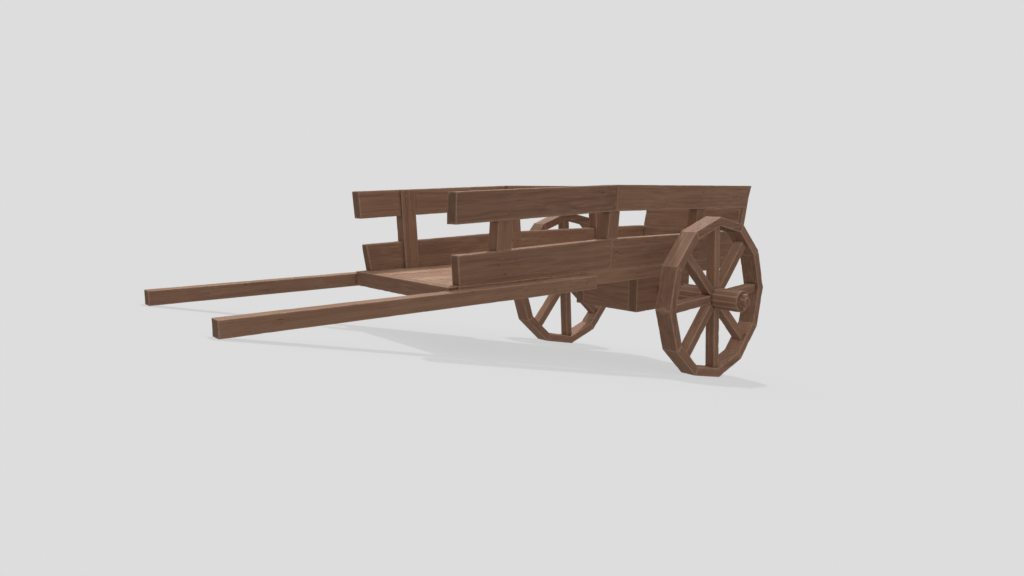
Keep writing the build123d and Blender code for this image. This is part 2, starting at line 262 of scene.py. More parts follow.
class CartPegSettings(bpy.types.PropertyGroup):
    """Sizes of the pegs that hold the timbers."""

    plank_peg: metres(
        "Plank peg radius", 0.007, "Radius of the pegs through the bed's planks", low=0.002
    )
    board_peg: metres(
        "Board peg radius", 0.009, "Radius of the pegs through boards, rails and posts", low=0.002
    )
    shaft_peg: metres(
        "Shaft peg radius", 0.0125, "Radius of the trenails through shafts and sills", low=0.002
    )
    rim_peg: metres(
        "Rim peg radius", 0.006, "Radius of the pegs through felloes and spoke tenons", low=0.002
    )
    rim_peg_inset: metres("Rim peg inset", 0.030, "Distance of a rim peg from the end of its spoke")
    stagger: metres(
        "Stagger", 0.012, "How far every other peg steps aside, so that no two split the same grain"
    )
    proud: amount("Proud", 0.26, "How far a peg stands out of the face, as a share of its radius")
    seed: IntProperty(
        name="Seed", description="Seed of the pegs' uneven turn, length and colour", default=7
    )


class CartShadeAndGrimeSettings(bpy.types.PropertyGroup):
    """How painted shade and grime gather where timbers shelter each other."""

    # The painted shade and grime reach this far from another timber.
    reach: metres("Reach", 0.045, "How far from another timber dirt still gathers", low=0.001)
    rays: IntProperty(
        name="Rays", description="Directions in which each point looks for other timber",
        default=6, min=3,
    )


class CartFinishSettings(bpy.types.PropertyGroup):
    """Colours of the aged wood."""

    wood_light: screen_colour(
        "Light grain", (139, 104, 82), "Colour of the early wood between the dark lines"
    )
    wood_dark: screen_colour("Dark grain", (105, 75, 59), "Colour of the dark lines of the grain")
    weathered: screen_colour(
        "Weathered", (150, 122, 100), "Colour where sun and rain have bleached the wood"
    )
    worn: screen_colour("Worn", (176, 140, 115), "Colour of the edges that wear keeps bare")
    # Painted shade and grime: this colour darkens the places where timbers shelter each other, and
    # the cracks.
    grime: screen_colour("Grime", (52, 38, 31), "Colour of the dirt in the joints and cracks")
    # Dust and painted top light: this lighter, greyer colour lies in patches on upward faces.
    dust_and_top_light: screen_colour("Dust and top light", (172, 148, 122), "Colour of the dry dust on upward faces")


class CartStageSettings(bpy.types.PropertyGroup):
    """The camera, the light and the floor."""

    camera_place: FloatVectorProperty(
        name="Camera place",
        description="Where the camera stands, from the axle's middle in the cart's level frame",
        default=(4.1551, 3.4200, 0.7347), size=3, unit="LENGTH",
    )
    camera_heading: degrees(
        "Camera heading", -130.7109,
        "Direction of the view about the cart's upright, from straight ahead",
    )
    camera_tilt: degrees("Camera tilt", -7.9865, "Slope of the view against the cart's bed")
    focal_pixels: amount(
        "Focal length in pixels", 695.2935, "Focal length for a picture 1024 pixels wide", low=1.0
    )
    backdrop: screen_colour(
        "Backdrop", (221, 221, 221), "Colour of the floor and of the space behind"
    )
    dome_light: amount("Dome light", 0.60, "Level of the soft light straight above")
    horizon_light: amount("Horizon light", 0.30, "Level of the soft light from the sides")
    key_light: amount("Key light", 0.84, "Level that the key lamp adds on a face turned to it")
    key_spread: degrees(
        "Key spread", 3, "Angle that the key lamp fills, for the softness of its shadows"
    )
    overhead_light: amount(
        "Overhead light", 0.44, "Level that a shadowless lamp overhead adds on a face that looks up"
    )
    floor_light: amount("Floor light", 0.36, "Level of the even light that the floor sends up")
    fill_light: amount(
        "Fill light", 0.38, "Level that the shadowless fill lamp adds on a face turned to it"
    )
    shadow_share: amount(
        "Shadow share", 0.28, "How much of the seen floor's brightness follows the light on it",
        max=1.0,
    )


def settings():
    """The scene's cart settings."""
    return bpy.context.scene.timber_cart


# Nodes, shader groups and materials


def new_node(tree, kind, inputs=None, **values):
    """A node of a tree with its settings made and its inputs set or linked."""
    made = tree.nodes.new(kind)
    for name, value in values.items():
        setattr(made, name, value)
    for name, value in (inputs or {}).items():
        socket = made.inputs[name] if isinstance(name, int) else shown(made.inputs, name)
        if isinstance(value, bpy.types.NodeSocket):
            tree.links.new(value, socket)
        else:
            socket.default_value = value
    return made


def shown(sockets, name):
    """The socket of a name that the node's settings leave in use."""
    return next(socket for socket in sockets if socket.name == name and socket.enabled)


def result(tree, kind, inputs=None, output=0, **values):
    """An output of a new node."""
    return new_node(tree, kind, inputs, **values).outputs[output]


def cleared(holder):
    """The node tree of a material or a world, emptied."""
    holder.use_nodes = True
    holder.node_tree.nodes.clear()
    return holder.node_tree


def maths(tree, operation, first, second=0.5, clamp=False):
    """A Math node's value."""
    inputs = {0: first, 1: second}
    return result(tree, "ShaderNodeMath", inputs, operation=operation, use_clamp=clamp)


def plus(tree, first, second, clamp=False):
    """The sum of two values."""
    return maths(tree, "ADD", first, second, clamp)


def less(tree, first, second, clamp=False):
    """A value less another."""
    return maths(tree, "SUBTRACT", first, second, clamp)


def times(tree, first, second, clamp=False):
    """The product of two values."""
    return maths(tree, "MULTIPLY", first, second, clamp)


def vectors(tree, operation, first, second=(0.0, 0.0, 0.0), output=0):
    """A Vector Math node's output."""
    inputs = {0: first, 1: second}
    return result(tree, "ShaderNodeVectorMath", inputs, output, operation=operation)


def stretched(tree, vector, scale):
    """A vector scaled along each of its axes."""
    return vectors(tree, "MULTIPLY", vector, scale)


def joined(tree, x, y, z):
    """A vector of three values."""
    return result(tree, "ShaderNodeCombineXYZ", {"X": x, "Y": y, "Z": z})


def split(tree, vector):
    """The three values of a vector."""
    return new_node(tree, "ShaderNodeSeparateXYZ", {0: vector}).outputs


def ranged(tree, value, low, high, to_low=0.0, to_high=1.0, kind="LINEAR"):
    """A value run from one range into another, clamped."""
    inputs = {
        "Value": value, "From Min": low, "From Max": high, "To Min": to_low, "To Max": to_high
    }
    return result(tree, "ShaderNodeMapRange", inputs, interpolation_type=kind)


def between(tree, value, low, high):
    """A value run smoothly from 0 at low to 1 at high, clamped."""
    return ranged(tree, value, low, high, kind="SMOOTHSTEP")


def blended(tree, share, first, second):
    """Two colours mixed by a share."""
    return result(tree, "ShaderNodeMix", {0: share, 6: first, 7: second}, 2, data_type="RGBA")


def noisy(tree, vector, scale, detail, roughness=0.5, output=0):
    """Noise over a vector, scaled evenly or by a factor for each axis."""
    if not isinstance(scale, float):
        vector, scale = stretched(tree, vector, scale), 1.0
    inputs = {"Vector": vector, "Scale": scale, "Detail": detail, "Roughness": roughness}
    return result(tree, "ShaderNodeTexNoise", inputs, output)


def attribute(tree, name, kind="Fac"):
    """A mesh attribute's value or vector."""
    return result(tree, "ShaderNodeAttribute", output=kind, attribute_name=name)


def new_group(name, inputs, outputs):
    """A shader group with named values in and out, and what its inputs give."""
    group = bpy.data.node_groups.new(name, "ShaderNodeTree")
    for socket, value in inputs.items():
        made = group.interface.new_socket(socket, in_out="INPUT", socket_type="NodeSocketFloat")
        made.default_value = value
    for socket in outputs:
        group.interface.new_socket(socket, in_out="OUTPUT", socket_type="NodeSocketFloat")
    return group, group.nodes.new("NodeGroupInput").outputs


def build_grain_group():
    """Growth rings, fibres, streaks and cracks along the grain attribute."""
    group, given = new_group(
        "wood_grain",
        {"Ring spacing": 0.009, "Streak width": 0.030, "Crack amount": 0.5},
        ("Grain", "Streaks", "Fibres", "Cracks", "Height"),
    )
    place = attribute(group, "grain", "Vector")
    end = attribute(group, "end")
    sway = noisy(group, place, (1.3, 7.0, 7.0), 2.0, output="Color")
    shift = stretched(group, vectors(group, "SUBTRACT", sway, (0.5, 0.5, 0.5)), (0.0, 0.050, 0.050))
    bent = vectors(group, "ADD", place, shift)
    across = stretched(group, bent, (0.0, 1.0, 1.0))
    radius = vectors(group, "LENGTH", across, output="Value")
    uneven = noisy(group, across, (1.0, 55.0, 55.0), 1.0)
    rings = maths(group, "DIVIDE", radius, given["Ring spacing"])
    rings = plus(group, rings, times(group, uneven, 1.6))
    saw = maths(group, "FRACT", rings, 0.0)
    late = times(group, between(group, saw, 0.35, 0.93), between(group, saw, 1.0, 0.95))

    fibres = noisy(group, bent, (9.0, 520.0, 520.0), 2.0, 0.6)
    pores = between(group, noisy(group, bent, (28.0, 900.0, 900.0), 1.0), 0.62, 0.74)
    thin = maths(group, "DIVIDE", 1.0, given["Streak width"])
    streaks = noisy(group, bent, joined(group, 0.9, thin, thin), 4.0, 0.62)

    ridge = less(group, noisy(group, bent, (3.2, 92.0, 92.0), 1.0), 0.5)
    ridge = maths(group, "ABSOLUTE", ridge)
    where = noisy(group, place, (5.0, 16.0, 16.0), 1.0)
    limit = times(group, between(group, where, 0.50, 0.72), 0.014)
    limit = plus(group, times(group, limit, given["Crack amount"]), 0.0001)
    cracks = between(group, maths(group, "DIVIDE", ridge, limit), 1.25, 0.35)
    cracks = times(group, cracks, between(group, end, 0.85, 0.5))

    grain = plus(group, times(group, late, 0.55), times(group, fibres, 0.45))
    grain = plus(group, grain, times(group, pores, 0.20), clamp=True)
    height = plus(group, times(group, late, 0.22), times(group, fibres, 0.40))
    height = less(group, height, times(group, pores, 0.25))
    height = less(group, height, times(group, cracks, 1.5))
    results = {
        "Grain": grain, "Streaks": streaks, "Fibres": fibres, "Cracks": cracks, "Height": height
    }
    new_node(group, "NodeGroupOutput", results)
    return group


def build_wear_group():
    """Masks for worn edges, painted shade with grime where timbers shelter each other, dust with
    painted top light on upward faces, and bleached wood.
    """
    group, given = new_group(
        "wear_dust_and_painted_light",
        {"Edge wear": 0.6, "Dust and top light": 0.4, "Grime": 0.7},
        ("Worn", "Dusty and top-lit", "Shaded and grimy", "Weathered"),
    )
    place = result(group, "ShaderNodeTexCoord", output="Object")
    edge, occlusion, sky = (attribute(group, name) for name in ("edge", "occlusion", "sky"))
    patchy = noisy(group, place, 26.0, 4.0, 0.6)
    broad = noisy(group, place, 3.1, 3.0, 0.55)
    run = noisy(group, attribute(group, "grain", "Vector"), (7.0, 60.0, 60.0), 3.0, 0.6)

    worn = between(group, plus(group, edge, times(group, patchy, 0.75)), 0.72, 1.30)
    # Dust with painted top light: upward faces turn lighter and greyer in patches.
    dusty_and_top_lit = times(group, between(group, sky, 0.30, 0.98), between(group, broad, 0.30, 0.75))
    dusty_and_top_lit = times(group, dusty_and_top_lit, between(group, run, 0.25, 0.70))
    # Painted shade with grime: darker where other timber shelters the point, broken up by patchy
    # noise.
    shaded_and_soiled = plus(group, occlusion, times(group, less(group, patchy, 0.5), 0.5))
    shade_and_grime = between(group, shaded_and_soiled, 0.10, 0.55)
    weathered = times(group, between(group, run, 0.40, 0.72), between(group, broad, 0.38, 0.66))
    results = {
        "Worn": times(group, worn, given["Edge wear"], clamp=True),
        "Dusty and top-lit": times(group, dusty_and_top_lit, given["Dust and top light"], clamp=True),
        "Shaded and grimy": times(group, shade_and_grime, given["Grime"], clamp=True),
        "Weathered": times(group, weathered, less(group, 1.0, occlusion, clamp=True)),
    }
    new_node(group, "NodeGroupOutput", results)
    return group


# How each wood of the record is finished
# In each row, the share of shade and grime darkens sheltered places with painted shade as well as
# grime, and the share of dust lightens upward faces with painted top light as well as dust.
WOOD_COLUMNS = ("tint", "ring", "streak", "contrast", "cracks", "wear", "dust_and_top_light", "grime", "bleach")
WOODS = {
    "shaft_wood": (0.88, 0.010, 0.034, 0.50, 0.55, 0.34, 0.30, 0.60, 0.45),
    "bed_wood": (1.06, 0.011, 0.030, 0.55, 0.75, 0.34, 0.55, 0.65, 0.55),
    "board_wood": (0.87, 0.012, 0.036, 0.50, 0.60, 0.36, 0.35, 0.60, 0.50),
    "frame_wood": (0.88, 0.009, 0.028, 0.48, 0.55, 0.34, 0.35, 0.60, 0.40),
    "wheel_wood": (0.93, 0.008, 0.024, 0.48, 0.60, 0.40, 0.30, 0.60, 0.45),
    "axle_wood": (1.02, 0.008, 0.024, 0.42, 0.50, 0.28, 0.20, 0.60, 0.30),
}


def build_wood(slot, grain_group, wear_group):
    """The material of one of the record's woods."""
    look = dict(zip(WOOD_COLUMNS, WOODS[slot]))
    finish = settings().finish
    material = bpy.data.materials.new(f"aged_{slot}")
    tree = cleared(material)
    grain_look = {
        "Ring spacing": look["ring"], "Streak width": look["streak"], "Crack amount": look["cracks"]
    }
    grain = new_node(tree, "ShaderNodeGroup", grain_look, node_tree=grain_group).outputs
    wear_look = {"Edge wear": look["wear"], "Dust and top light": look["dust_and_top_light"], "Grime": look["grime"]}
    wear = new_node(tree, "ShaderNodeGroup", wear_look, node_tree=wear_group).outputs

    def tinted(colour, share=1.0):
        return [channel * look["tint"] * share for channel in colour] + [1.0]

    lines = times(tree, grain["Grain"], look["contrast"])
    lines = plus(tree, lines, times(tree, between(tree, grain["Streaks"], 0.32, 0.68), 0.42))
    lines = plus(tree, lines, times(tree, attribute(tree, "tone"), 0.22), clamp=True)
    end = times(tree, between(tree, attribute(tree, "end"), 0.72, 0.92), 0.45)
    bleach = times(tree, wear["Weathered"], look["bleach"])
    colour = tinted(finish.wood_light)
    for share, over in (
        (lines, tinted(finish.wood_dark)),
        (bleach, tinted(finish.weathered)),
        (end, tinted(finish.wood_dark, 0.75)),
        (wear["Worn"], tinted(finish.worn)),
        # This layer paints light onto upward faces, as well as dust.
        (wear["Dusty and top-lit"], tinted(finish.dust_and_top_light)),
        # This layer paints shade, as well as grime, where timbers shelter each other.
        (wear["Shaded and grimy"], tinted(finish.grime)),
        (times(tree, grain["Cracks"], 0.80), tinted(finish.grime, 0.7)),
    ):
        colour = blended(tree, share, colour, over)

    rough = plus(tree, times(tree, grain["Fibres"], 0.16), 0.66)
    rough = less(tree, rough, times(tree, wear["Worn"], 0.14))
    rough = plus(tree, rough, times(tree, wear["Dusty and top-lit"], 0.15), clamp=True)
    relief = {"Height": grain["Height"], "Strength": 0.55, "Distance": 0.0016}
    surface = {
        "Base Color": colour, "Roughness": rough, "Specular IOR Level": 0.28,
        "Normal": result(tree, "ShaderNodeBump", relief),
    }
    shader = result(tree, "ShaderNodeBsdfPrincipled", surface)
    new_node(tree, "ShaderNodeOutputMaterial", {"Surface": shader})
    return material


def wood(slot):
    """The material of a slot, built once."""
    found = bpy.data.materials.get(f"aged_{slot}")
    if found is not None:
        return found
    grain_group = bpy.data.node_groups.get("wood_grain") or build_grain_group()
    wear_group = bpy.data.node_groups.get("wear_dust_and_painted_light") or build_wear_group()
    return build_wood(slot, grain_group, wear_group)


# Timber: worn copies of the CAD solids


def merged_solids(node):
    """A clean bmesh of each separate solid of a CAD node."""
    whole = bmesh.new()
    whole.from_mesh(frame["nodes"][node].data)
    bmesh.ops.remove_doubles(whole, verts=whole.verts, dist=MERGE_DISTANCE)
    bmesh.ops.dissolve_limit(
        whole, angle_limit=FLAT_ANGLE, verts=whole.verts[:], edges=whole.edges[:]
    )
    whole.verts.ensure_lookup_table()
    island = {}
    count = 0
    for start in whole.verts:
        if start.index in island:
            continue
        island[start.index] = count
        open_verts = [start]
        while open_verts:
            vert = open_verts.pop()
            for edge in vert.link_edges:
                other = edge.other_vert(vert)
                if other.index not in island:
                    island[other.index] = count
                    open_verts.append(other)
        count += 1
    solids = []
    for number in range(count):
        solid = whole.copy()
        solid.verts.ensure_lookup_table()
        others = [solid.verts[index] for index, group in island.items() if group != number]
        bmesh.ops.delete(solid, geom=others, context="VERTS")
        solid.normal_update()
        solids.append(solid)
    whole.free()
    return solids


def timber_axes(solid):
    """Middle, and the directions along the grain, across the widest face and out of it."""
    points = np.array([vert.co for vert in solid.verts])
    middle = (points.min(axis=0) + points.max(axis=0)) / 2
    spread = points - points.mean(axis=0)
    along = Vector(np.linalg.eigh(spread.T @ spread)[1][:, -1]).normalized()
    sides = [face for face in solid.faces if abs(face.normal.dot(along)) < SIDE_SLOPE]
    widest = max(sides, key=lambda face: face.calc_area())
    out = (widest.normal - along * widest.normal.dot(along)).normalized()
    if out.dot(UP) < DOWN_SLOPE:
        out = -out
    return Vector(middle), along, out.cross(along), out


def extent(solid, middle, axis):
    """Lowest and highest reach of a solid along an axis."""
    reaches = [(vert.co - middle).dot(axis) for vert in solid.verts]
    return min(reaches), max(reaches)


def cut(solid, faces, place, normal):
    """Splits faces along a plane."""
    # A dict names each element once, as a set does, and keeps their order
    geometry = dict.fromkeys(
        element for face in faces for element in (*face.verts, *face.edges, face)
    )
    bmesh.ops.bisect_plane(
        solid, geom=list(geometry), dist=MERGE_DISTANCE, plane_co=place, plane_no=normal
    )


def cut_grid(solid, middle, axis, step, support):
    """Mesh loops across an axis at about a step, with one close to each end."""
    low, high = extent(solid, middle, axis)
    if high - low < SHORTEST_GRID * support:
        return
    inner = high - low - 2 * support
    count = max(1, round(inner / step))
    for index in range(count + 1):
        reach = low + support + inner * index / count
        cut(solid, solid.faces[:], middle + axis * reach, axis)


def open_check(solid, middle, check, width):
    """Cuts the middle line and the two lips of a drying crack into the faces that it opens."""
    across = check["across"]
    for offset in (-0.5, 0.0, 0.5):
        faces = [face for face in solid.faces if face.normal.dot(check["out"]) > CRACKED_FACE]
        cut(solid, faces, middle + across * (check["place"] + offset * width), across)


def shape_check(points, normals, reach, check, limits, sizes, seed):
    """Pushes a crack's middle line in and narrows it towards its tip."""
    low, high = limits
    across, out = np.array(check["across"]), np.array(check["out"])
    run = (high - reach) if check["end"] > 0 else (reach - low)
    taper = np.clip(1 - run / check["length"], 0, 1)
    half = sizes.check_width / 2
    offset = points @ across - check["place"]
    open_face = (normals @ out > CRACKED_POINT) & (taper > 0)
    apart = np.abs(offset)
    middle = open_face & (apart < half * MIDDLE_BAND)
    lips = open_face & (apart > half * LIP_BAND[0]) & (apart < half * LIP_BAND[1])
    crack = middle | lips
    sway = np.array([
        noise.noise(Vector((float(place) * CRACK_WAVES, seed, 0.0))) for place in reach[crack]
    ])
    moved = np.zeros_like(points)
    moved[crack] += np.outer(sway * half * CRACK_SWAY, across)
    moved[middle] -= np.outer(sizes.check_depth * taper[middle] ** CRACK_TAPER, out)
    closing = np.sign(offset[lips]) * half * (1 - taper[lips]) * CRACK_CLOSING
    moved[lips] -= np.outer(closing, across)
    return moved


def sharp_edges(solid):
    """The edges of a solid that stand out sharply."""
    return [
        edge for edge in solid.edges
        if len(edge.link_faces) == 2 and edge.calc_face_angle_signed() > SHARP_ANGLE
    ]


def distance_to_lines(points, lines):
    """Distance of each point to the nearest of the lines."""
    nearest = np.full(len(points), np.inf)
    for start, end in lines:
        run = end - start
        share = np.clip(((points - start) @ run) / max(float(run @ run), TINY), 0, 1)
        gap = np.linalg.norm(points - start - share[:, None] * run, axis=1)
        nearest = np.minimum(nearest, gap)
    return nearest


def wander(grain, waves, shift_across, shift_out):
    """Noise at a point of the grain, by its waves per metre along and across."""
    x, y, z = grain
    along, across = waves
    return noise.noise(Vector((x * along, y * across + shift_across, z * across + shift_out)))


class Timber:
    """One worn solid with the values that its wood is drawn from."""

    def __init__(self, solid, seed, radius, checks):
        sizes = settings().timber
        self.random = random.Random(seed)
        self.axes = timber_axes(solid)
        middle, along, across, out = self.axes
        sharp = sharp_edges(solid)
        self.lines = [[np.array(vert.co) for vert in edge.verts] for edge in sharp]
        bmesh.ops.bevel(
            solid, geom=sharp, offset=radius, offset_type="OFFSET", segments=2, profile=0.6,
            affect="EDGES", clamp_overlap=True,
        )
        solid.normal_update()
        low, high = extent(solid, middle, across)
        limits = extent(solid, middle, along)
        opened = []
        for number in range(checks):
            place = self.random.uniform(*CRACK_PLACE) * self.random.choice((-1, 1))
            place *= 0.5 * (high - low) * self.random.choice(CRACK_STEPS)
            check = {
                "place": place,
                "length": (limits[1] - limits[0]) * self.random.uniform(*CRACK_LENGTH),
                "end": 1 if number % 2 == 0 else -1,
                "across": across,
                "out": out * self.random.choice((1, -1)),
            }
            open_check(solid, middle, check, sizes.check_width)
            opened.append(check)
        for axis, step in (
            (along, sizes.step_along), (across, sizes.step_across), (out, sizes.step_across)
        ):
            cut_grid(solid, middle, axis, step, EDGE_SUPPORT * radius)
        solid.normal_update()
        self.finish(solid, limits, opened, seed, sizes)

    def finish(self, solid, limits, opened, seed, sizes):
        """Reads the mesh out and works out its wear."""
        middle, along, across, out = (np.array(axis) for axis in self.axes)
        # Cutting leaves the corners in any order, and sorted ones are alike in each run
        verts = sorted(solid.verts, key=lambda vert: tuple(vert.co))
        numbers = {vert: number for number, vert in enumerate(verts)}
        rest = np.array([vert.co for vert in verts])
        normals = np.array([vert.normal for vert in verts])
        local = rest - middle
        reach = local @ along
        pith_across = self.random.uniform(-PITH_ASIDE, PITH_ASIDE)
        pith_out = self.random.choice((-1, 1)) * self.random.uniform(*PITH_BELOW)
        self.grain = np.c_[
            reach + self.random.uniform(0, GRAIN_LENGTH),
            local @ across + pith_across,
            local @ out + pith_out,
        ]
        self.end = np.abs(normals @ along)
        self.sky = normals @ np.array(UP)
        self.tone = np.full(len(rest), self.random.uniform(-1, 1))
        apart = distance_to_lines(rest, self.lines)
        self.edge = np.exp(-((apart / RUBBED_REACH) ** 2))
        moved = self.worn(normals, apart, seed, sizes)
        for number, check in enumerate(opened):
            own_seed = seed + number * CRACK_SEED_STEP
            moved += shape_check(local, normals, reach, check, limits, sizes, own_seed)
        off_axle = np.hypot(rest[:, 0] - AXLE.x, rest[:, 2] - AXLE.z)
        spare = np.clip((off_axle - TRUE_RADIUS) / TRUE_FADE, 0, 1)
        self.points = rest + moved * spare[:, None]
        self.faces = sorted([numbers[vert] for vert in face.verts] for face in solid.faces)
        solid.free()

    def worn(self, normals, apart, seed, sizes):
        """How far hewing and knocks move each point."""
        shift = np.empty(len(normals))
        even, waves, ripples = HEWING
        for index, (grain, gap) in enumerate(zip(self.grain, apart)):
            wave = wander(grain, HEWING_WAVES, 0.0, seed)
            ripple = wander(grain, RIPPLE_WAVES, 0.0, -seed)
            depth = -sizes.waviness * (even + waves * wave + ripples * ripple)
            if gap < KNOCK_REACH:
                knock = max(0.0, wander(grain, KNOCK_WAVES, seed, 0.0) - KNOCK_FROM)
                rub = max(0.0, wander(grain, RUB_WAVES, -seed, 0.0))
                share = math.exp(-((gap / KNOCK_FADE) ** 2))
                depth -= sizes.nick_depth * share * (knock * KNOCK_SHARE + rub * RUB_SHARE)
            shift[index] = depth
        return normals * shift[:, None]


def smooth_by_area(mesh):
    """Shades the mesh smooth with each face counting by its area, so that flat faces look flat."""
    normals = np.zeros((len(mesh.vertices), 3))
    for face in mesh.polygons:
        weighted = np.array(face.normal) * face.area
        for index in face.vertices:
            normals[index] += weighted
    length = np.linalg.norm(normals, axis=1)
    normals[length < TINY] = (0, 0, 1)
    length[length < TINY] = 1.0
    mesh.polygons.foreach_set("use_smooth", [True] * len(mesh.polygons))
    mesh.normals_split_custom_set_from_vertices((normals / length[:, None]).tolist())


def store(mesh, name, values):
    """Stores one value or vector for each point of a mesh."""
    kind, field = ("FLOAT_VECTOR", "vector") if values.ndim == 2 else ("FLOAT", "value")
    made = mesh.attributes.new(name, kind, "POINT")
    made.data.foreach_set(field, np.ascontiguousarray(values, dtype=np.float32).ravel())


def timber_object(node, timbers):
    """Joins a node's timbers into one piece that stands for it."""
    points = np.vstack([timber.points for timber in timbers])
    faces = []
    start = 0
    for timber in timbers:
        faces.extend([[index + start for index in face] for face in timber.faces])
        start += len(timber.points)
    mesh = bpy.data.meshes.new(f"{node}_timber")
    mesh.from_pydata(points.tolist(), [], faces)
    for name in ("grain", "end", "sky", "tone", "edge"):
        store(mesh, name, np.concatenate([getattr(timber, name) for timber in timbers]))
    store(mesh, "occlusion", np.zeros(len(points)))
    smooth_by_area(mesh)
    piece = placed(f"{node}_timber", mesh)
    mesh.materials.append(wood(SLOTS[node]))
    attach(piece, BODIES[node])
    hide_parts(node)


def dress(node, checks=1, small=False):
    """Makes the worn timbers of a CAD node."""
    sizes = settings().timber
    radius = sizes.small_edge_radius if small else sizes.edge_radius
    seed = sum(ord(letter) * (place + 3) for place, letter in enumerate(node)) % SEED_SPAN
    timber_object(node, [
        Timber(solid, seed + number * TIMBER_SEED_STEP, radius, checks)
        for number, solid in enumerate(merged_solids(node))
    ])


def both(name):
    """A name on the left and on the right."""
    return [f"{side}_{name}" for side in SIDES]


# Pegs, and the worn timbers that they stand on


def piece_tree(nodes):
    """A search tree over the worn timbers of some nodes."""
    points = []
    faces = []
    for node in nodes:
        mesh = bpy.data.objects[f"{node}_timber"].data
        start = len(points)
        points.extend(vert.co.copy() for vert in mesh.vertices)
        faces.extend([index + start for index in face.vertices] for face in mesh.polygons)
    return BVHTree.FromPolygons(points, faces)


def level_points(verts):
    """The places of some vertices in the cart's level frame."""
    return np.array([TO_LEVEL @ vert.co for vert in verts])


def solid_boxes(node):
    """Lowest and highest level corner of each solid of a CAD node."""
    boxes = []
    for solid in merged_solids(node):
        points = level_points(solid.verts)
        boxes.append((points.min(axis=0), points.max(axis=0)))
        solid.free()
    return boxes


def box_at(node, x):
    """The level box of a worn piece at a level x, or nothing if it isn't there."""
    points = level_points(bpy.data.objects[f"{node}_timber"].data.vertices)
    near = points[np.abs(points[:, 0] - x) < settings().timber.step_along]
    return (near.min(axis=0), near.max(axis=0)) if len(near) else None


def struck(tree, place, direction, radius):
    """The peg where a ray from a level place meets the timber, as a list of one or none."""
    hit, normal, _, _ = tree.ray_cast(LEVEL @ Vector(place), in_world(Vector(direction)))
    return [] if hit is None else [(hit, normal, radius)]


def through(outer, inner, x, z, sign, radius):
    """A peg through the side of the cart, on its outer and its inner face."""
    return (
        struck(outer, (x, BESIDE * sign, z), (0, -sign, 0), radius)
        + struck(inner, (x, 0.0, z), (0, sign, 0), radius)
    )


def share_of(low, high, axis, share):
    """The value at a share of the way through a box along an axis."""
    return low[axis] + (high[axis] - low[axis]) * share


def middle_of(box, axis):
    """The middle of a box along an axis."""
    return share_of(*box, axis, 0.5)


def pairs(low, high, axis, shares, stagger):
    """Two places in a box along an axis, and how far each steps aside."""
    steps = (-stagger, stagger)
    return [(share_of(low, high, axis, share), step) for share, step in zip(shares, steps)]


def bed_pegs(sizes):
    """Pegs through the planks, the sills and the front crossbeam."""
    pegs = []
    planks = piece_tree(["bed_planks"])
    sills = piece_tree(["bed_sills"])
    shaft_rear = solid_boxes("left_shaft")[0][0][0]
    sill = solid_boxes("bed_sills")[0]
    for beam in solid_boxes("bed_crossbeams"):
        x = middle_of(beam, 0)
        for plank in solid_boxes("bed_planks"):
            for y, step in pairs(*plank, 1, (0.26, 0.74), sizes.stagger):
                pegs += struck(planks, (x + step, y, ABOVE), (0, 0, -1), sizes.plank_peg)
        if x < shaft_rear:
            z = middle_of(beam, 2)
            for side in SIDES.values():
                pegs += struck(sills, (x, side, z), (0, -side, 0), sizes.board_peg)
    front = piece_tree(["front_crossbeam"])
    sill_middle = abs(middle_of(sill, 1))
    for side in SIDES.values():
        for share in (0.3, 0.7):
            z = share_of(*sill, 2, share)
            y = side * (sill_middle + sizes.stagger * (share - 0.5))
            pegs += struck(front, (BEFORE, y, z), (-1, 0, 0), sizes.board_peg)
    return pegs


def wall_pegs(side, sizes):
    """Pegs through a wall's boards and rails into its stakes and main post, on both faces."""
    boards = [f"{side}_{name}" for name in WALL_BOARDS]
    outer = piece_tree(boards)
    inner = piece_tree([f"{side}_stakes", f"{side}_main_post"])
    places = [middle_of(stake, 0) for stake in solid_boxes(f"{side}_stakes")]
    post = solid_boxes(f"{side}_main_post")[0]
    places += [share_of(*post, 0, share) for share in (0.24, 0.76)]
    pegs = []
    for x in places:
        for board in boards:
            box = box_at(board, x)
            if box is None:
                continue
            for z, step in pairs(*box, 2, (0.27, 0.73), sizes.stagger):
                pegs += through(outer, inner, x + step, z, SIDES[side], sizes.board_peg)
    return pegs


def shaft_pegs(side, sizes):
    """Trenails through a shaft and the sill beside it."""
    outer = piece_tree([f"{side}_shaft"])
    inner = piece_tree(["bed_sills"])
    shaft = solid_boxes(f"{side}_shaft")[0]
    sill_high = solid_boxes("bed_sills")[0][1]
    pegs = []
    for number, share in enumerate((0.09, 0.36, 0.59, 0.91)):
        x = share_of(shaft[0], sill_high, 0, share)
        z = middle_of(shaft, 2) + sizes.stagger * (-1) ** number
        pegs += through(outer, inner, x, z, SIDES[side], sizes.shaft_peg)
    return pegs


def tail_pegs(sizes):
    """Pegs through the tail's boards into its posts and battens, on both faces."""
    uprights = [*both("tail_post"), "tail_battens"]
    front = piece_tree(["tail_boards"])
    rear = piece_tree(uprights)
    middles = [middle_of(box, 1) for node in uprights for box in solid_boxes(node)]
    pegs = []
    for board in solid_boxes("tail_boards"):
        for y in middles:
            for z, step in pairs(*board, 2, (0.30, 0.78), sizes.stagger):
                pegs += struck(front, (0.0, y + step, z), (-1, 0, 0), sizes.plank_peg)
                pegs += struck(rear, (BEHIND, y + step, z), (1, 0, 0), sizes.plank_peg)
    return pegs


